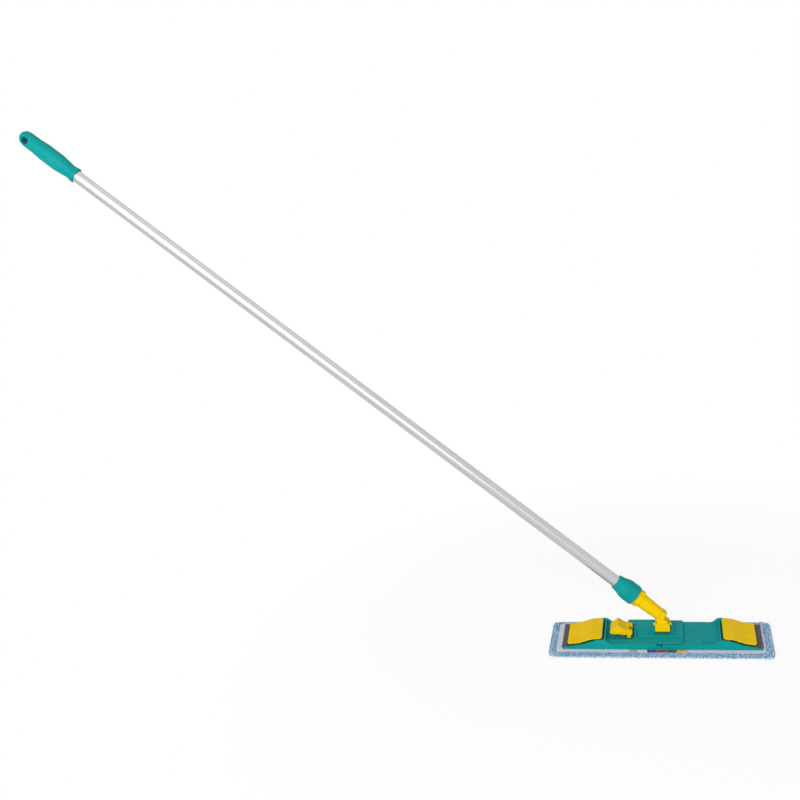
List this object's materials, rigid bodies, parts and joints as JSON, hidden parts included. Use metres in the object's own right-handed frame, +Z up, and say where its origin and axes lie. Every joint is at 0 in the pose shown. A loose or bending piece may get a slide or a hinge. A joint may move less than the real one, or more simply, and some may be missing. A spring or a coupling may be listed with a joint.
{
  "type": "flat mop",
  "caption": "Folding flat mop with a microfibre pad, foot pedal, sprung end clamps, a two-axis swivel joint and a long aluminium handle with a hanging grip.",
  "frame": {"origin": "on the floor under the hinge frame's middle, 2 mm from the middle of the mop's sole", "axes": "+X along the mop to the side away from the leaning handle, +Y to the mop's back edge, +Z up"},
  "size_m": [1.3934, 0.13, 1.1236],
  "materials": {
    "anodised_tube": "satin anodised",
    "teal_plastic": "moulded, fine satin grain",
    "yellow_plastic": "moulded, satin",
    "dark_plastic": "moulded",
    "bright_steel": "drawn wire",
    "spring_steel": "rolled strip",
    "microfibre_pile": "looped microfibre",
    "backing_cloth": "knitted backing",
    "flap_cloth": "woven reinforced flap",
    "tag_cloth": "woven ribbon tags"
  },
  "bodies": {
    "handle": {"handle_tube": "anodised_tube", "hand_grip": "teal_plastic", "joint_arm": "yellow_plastic"},
    "lock_nut": {"lock_nut": "teal_plastic"},
    "yoke": {"yoke": "yellow_plastic", "arm_pin": "bright_steel"},
    "frame_left": {"frame_left": "teal_plastic", "hinge_pins": "bright_steel", "pedal_pin": "bright_steel", "pedal_spring": "spring_steel", "clamp_pin_left": "bright_steel", "clamp_spring_left": "spring_steel", "mop_pile_left": "microfibre_pile", "mop_pile_middle": "microfibre_pile", "mop_backing_left": "backing_cloth", "mop_backing_middle": "backing_cloth", "mop_flap_left": "flap_cloth", "colour_tags": "tag_cloth"},
    "foot_pedal": {"foot_pedal": "yellow_plastic"},
    "release_rod": {"release_rod": "dark_plastic"},
    "clamp_left": {"clamp_plate_left": "yellow_plastic"},
    "frame_right": {"frame_right": "teal_plastic", "clamp_pin_right": "bright_steel", "clamp_spring_right": "spring_steel", "mop_pile_right": "microfibre_pile", "mop_backing_right": "backing_cloth", "mop_flap_right": "flap_cloth"},
    "clamp_right": {"clamp_plate_right": "yellow_plastic"}
  },
  "joints": [
    {"name": "nut_turn", "type": "hinge", "parent": "handle", "child": "lock_nut", "pos_m": [0.01345, 0, 0.05119], "axis": [-0.7443, 0, 0.6678], "range_deg": [0, 270]},
    {"name": "side_tilt", "type": "hinge", "parent": "handle", "child": "yoke", "pos_m": [0.0061, 0, 0.043], "axis": [0, 1, 0], "range_deg": [-58, 18]},
    {"name": "front_tilt", "type": "hinge", "parent": "yoke", "child": "frame_left", "pos_m": [0.0061, 0, 0.0395], "axis": [1, 0, 0], "range_deg": [-75, 75]},
    {"name": "fold", "type": "hinge", "parent": "frame_left", "child": "frame_right", "pos_m": [-0.001, 0, 0.0136], "axis": [0, 1, 0], "range_deg": [0, 95], "deforming": ["mop_pile_middle", "mop_backing_middle", "colour_tags"]},
    {"name": "pedal_press", "type": "hinge", "parent": "frame_left", "child": "foot_pedal", "pos_m": [-0.06, 0, 0.0222], "axis": [0, 1, 0], "range_deg": [-10, 0], "stiffness_Nm_per_rad": 1.5, "springref_deg": 8.59, "deforming": ["pedal_spring"]},
    {"name": "rod_slide", "type": "slide", "parent": "frame_left", "child": "release_rod", "axis": [1, 0, 0], "range_m": [0, 0.0013]},
    {"name": "clamp_left_press", "type": "hinge", "parent": "frame_left", "child": "clamp_left", "pos_m": [-0.1495, 0, 0.0156], "axis": [0, 1, 0], "range_deg": [0, 7], "stiffness_Nm_per_rad": 1.5, "springref_deg": -11.46, "deforming": ["clamp_spring_left"]},
    {"name": "clamp_right_press", "type": "hinge", "parent": "frame_right", "child": "clamp_right", "pos_m": [0.1515, 0, 0.0156], "axis": [0, 1, 0], "range_deg": [-7, 0], "stiffness_Nm_per_rad": 1.5, "springref_deg": 11.46, "deforming": ["clamp_spring_right"]}
  ],
  "couplings": [
    {"joint": "rod_slide", "follows": "pedal_press", "m_per_rad": -0.0071}
  ]
}
